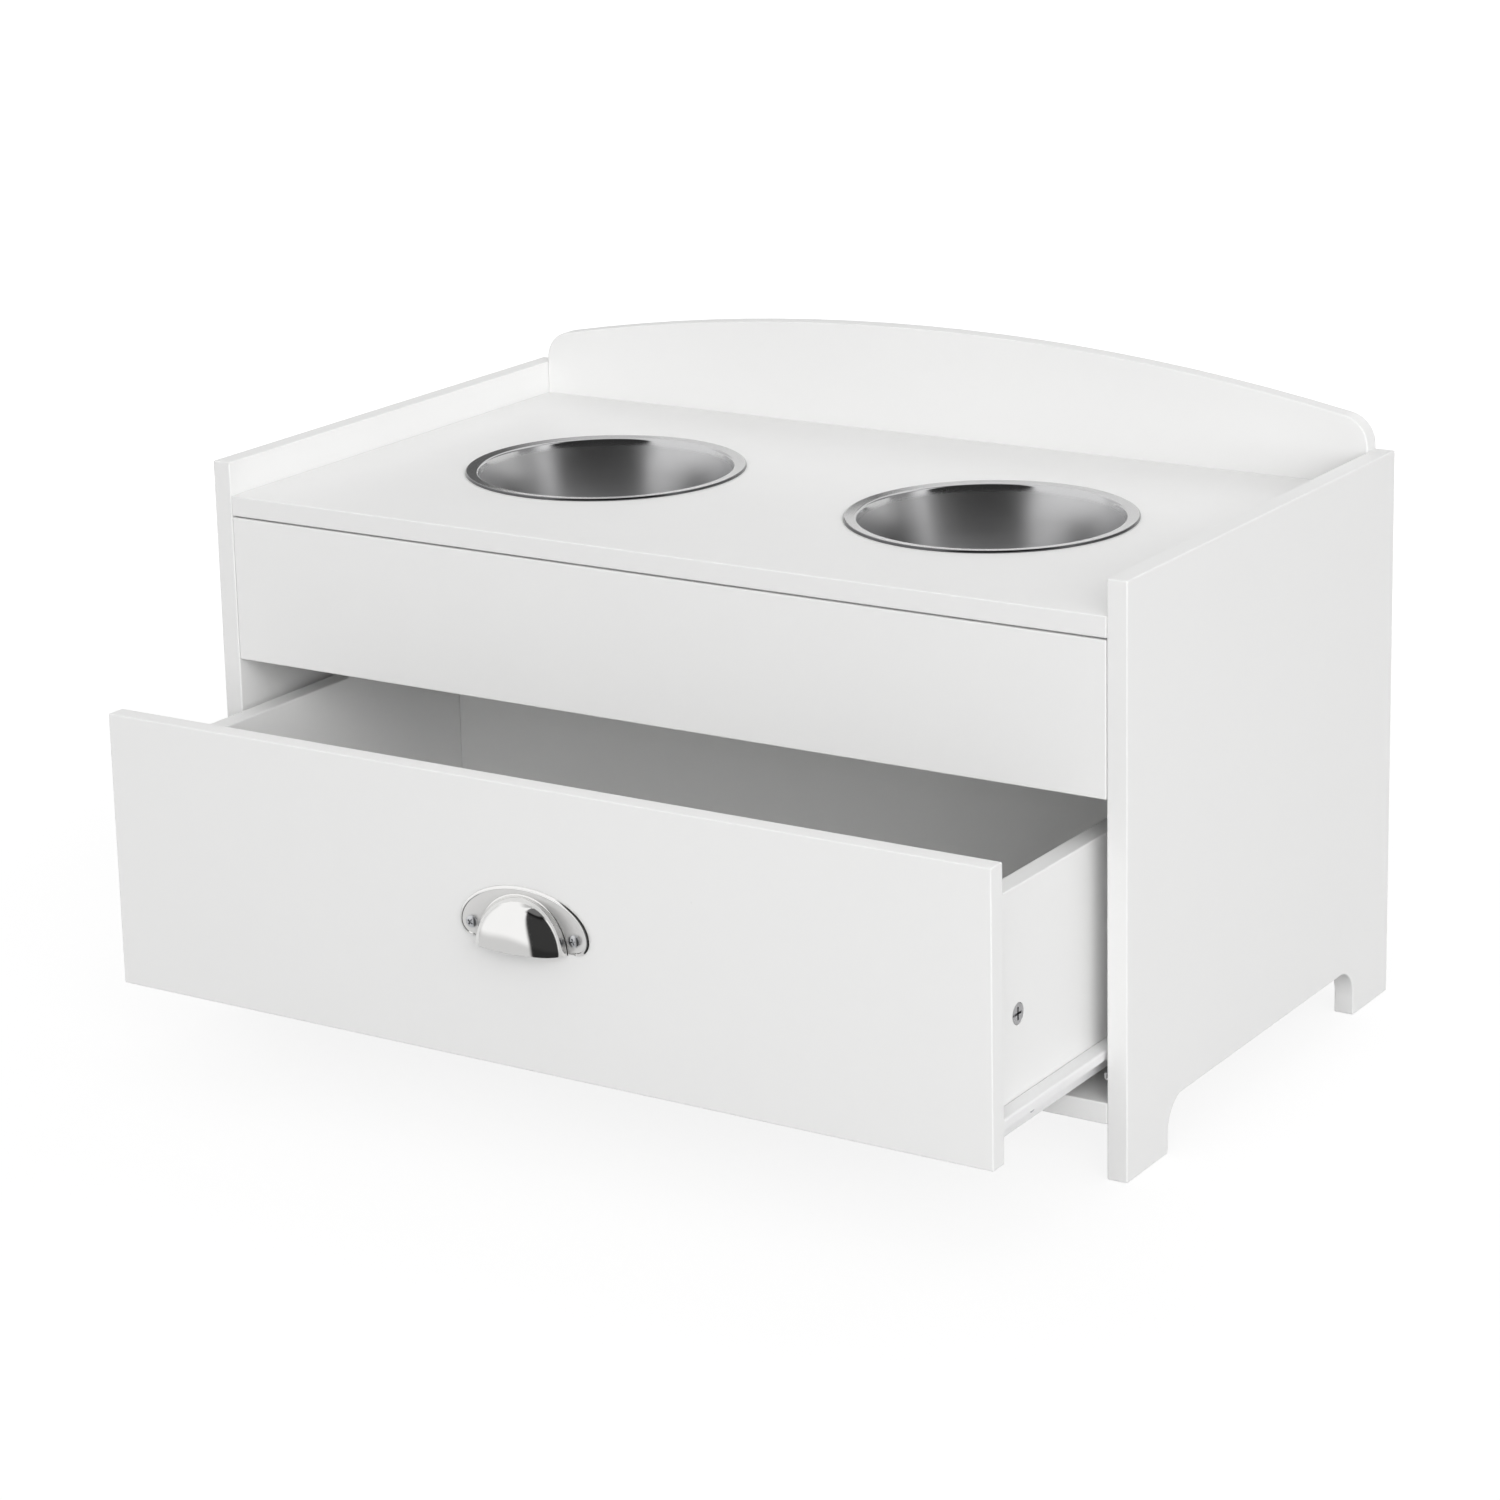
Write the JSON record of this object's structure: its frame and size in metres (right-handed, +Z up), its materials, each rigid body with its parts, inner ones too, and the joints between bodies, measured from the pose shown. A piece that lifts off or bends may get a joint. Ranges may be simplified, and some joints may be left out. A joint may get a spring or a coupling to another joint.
{
  "type": "elevated dog feeder with storage",
  "caption": "Low white board cabinet with lift-out steel food bowls set in its top, an arched backboard and an inset storage drawer on roller slides with a cup pull.",
  "frame": {"origin": "on the floor, midway between the side panels and midway between the cup pull of the drawer as it stands open at rest and the cabinet's back", "axes": "+X to the right-hand side seen from the front, +Y from the drawer front to the back, +Z up from the floor"},
  "size_m": [0.6, 0.472, 0.3759],
  "materials": {
    "white_lacquer": "smooth white lacquer on fibreboard, satin",
    "white_hardboard": "thin white-faced hardboard",
    "white_epoxy_steel": "white epoxy coat on rolled steel",
    "white_nylon": "moulded nylon",
    "stainless_steel": "polished stainless steel with fine spun lines",
    "polished_nickel": "polished nickel plate",
    "nickel_zinc": "nickel-plated zinc",
    "zinc_steel": "zinc-plated steel",
    "beech": "plain beech"
  },
  "bodies": {
    "cabinet": {"left_side_panel": "white_lacquer", "right_side_panel": "white_lacquer", "top_board": "white_lacquer", "bottom_board": "white_lacquer", "front_apron": "white_lacquer", "arched_backboard": "white_lacquer", "back_panel": "white_hardboard", "cabinet_cam_locks": "nickel_zinc", "cabinet_cam_bolts": "nickel_zinc", "cabinet_dowels": "beech", "left_cabinet_slide": "white_epoxy_steel", "right_cabinet_slide": "white_epoxy_steel", "cabinet_slide_screws": "zinc_steel", "cabinet_roller_axles": "zinc_steel"},
    "drawer": {"drawer_front": "white_lacquer", "drawer_left_side": "white_lacquer", "drawer_right_side": "white_lacquer", "drawer_back": "white_lacquer", "drawer_bottom": "white_hardboard", "drawer_cam_locks": "nickel_zinc", "drawer_cam_bolts": "nickel_zinc", "drawer_dowels": "beech", "drawer_back_screws": "zinc_steel", "left_drawer_slide": "white_epoxy_steel", "right_drawer_slide": "white_epoxy_steel", "drawer_slide_screws": "zinc_steel", "drawer_roller_axles": "zinc_steel", "cup_pull": "polished_nickel", "cup_pull_screws": "polished_nickel"},
    "bowl_left": {"left_bowl": "stainless_steel"},
    "bowl_right": {"right_bowl": "stainless_steel"},
    "roller_front_left": {"front_left_roller": "white_nylon"},
    "roller_front_right": {"front_right_roller": "white_nylon"},
    "roller_rear_left": {"rear_left_roller": "white_nylon"},
    "roller_rear_right": {"rear_right_roller": "white_nylon"}
  },
  "joints": [
    {"name": "drawer_slide", "type": "slide", "parent": "cabinet", "child": "drawer", "axis": [0, -1, 0], "range_m": [-0.1196, 0.1054]},
    {"name": "left_bowl_lift", "type": "slide", "parent": "cabinet", "child": "bowl_left", "axis": [0, 0, 1], "range_m": [0, 0.12]},
    {"name": "right_bowl_lift", "type": "slide", "parent": "cabinet", "child": "bowl_right", "axis": [0, 0, 1], "range_m": [0, 0.12]},
    {"name": "front_left_roller_spin", "type": "hinge", "parent": "cabinet", "child": "roller_front_left", "pos_m": [-0.2815, -0.07095, 0.0633], "axis": [1, 0, 0], "continuous": true},
    {"name": "rear_left_roller_spin", "type": "hinge", "parent": "drawer", "child": "roller_rear_left", "pos_m": [-0.2815, 0.08345, 0.056], "axis": [1, 0, 0], "continuous": true},
    {"name": "front_right_roller_spin", "type": "hinge", "parent": "cabinet", "child": "roller_front_right", "pos_m": [0.2815, -0.07095, 0.0633], "axis": [1, 0, 0], "continuous": true},
    {"name": "rear_right_roller_spin", "type": "hinge", "parent": "drawer", "child": "roller_rear_right", "pos_m": [0.2815, 0.08345, 0.056], "axis": [1, 0, 0], "continuous": true}
  ],
  "couplings": [
    {"joint": "front_left_roller_spin", "follows": "drawer_slide", "rad_per_m": 153.85},
    {"joint": "rear_left_roller_spin", "follows": "drawer_slide", "rad_per_m": 153.85},
    {"joint": "front_right_roller_spin", "follows": "drawer_slide", "rad_per_m": 153.85},
    {"joint": "rear_right_roller_spin", "follows": "drawer_slide", "rad_per_m": 153.85}
  ]
}
